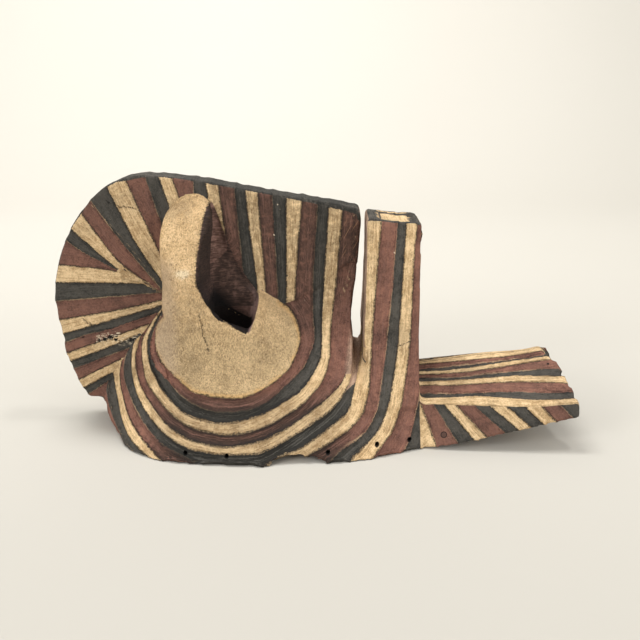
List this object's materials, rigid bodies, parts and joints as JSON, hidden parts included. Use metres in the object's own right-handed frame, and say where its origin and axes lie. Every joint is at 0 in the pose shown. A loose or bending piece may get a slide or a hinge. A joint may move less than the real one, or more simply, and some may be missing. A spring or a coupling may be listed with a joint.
{
  "type": "kifwebe mask",
  "caption": "Carved and painted wooden face mask with a tall crest, horn-shaped slit eyes, block mouth and flaring beard, hollow behind, lying face up on its rim",
  "frame": {"origin": "middle of the bounding box, on the surface that the rim rests on", "axes": "+X runs from the crown to the tip of the beard, +Y to the mask's own side that the picture doesn't show, +Z out of the face"},
  "size_m": [0.5648, 0.2906, 0.2761],
  "materials": {
    "painted_wood": "matte earth paint on grooved wood, cream, red-brown and black stripes, worn"
  },
  "bodies": {
    "root": {"mask": "painted_wood"}
  },
  "joints": []
}
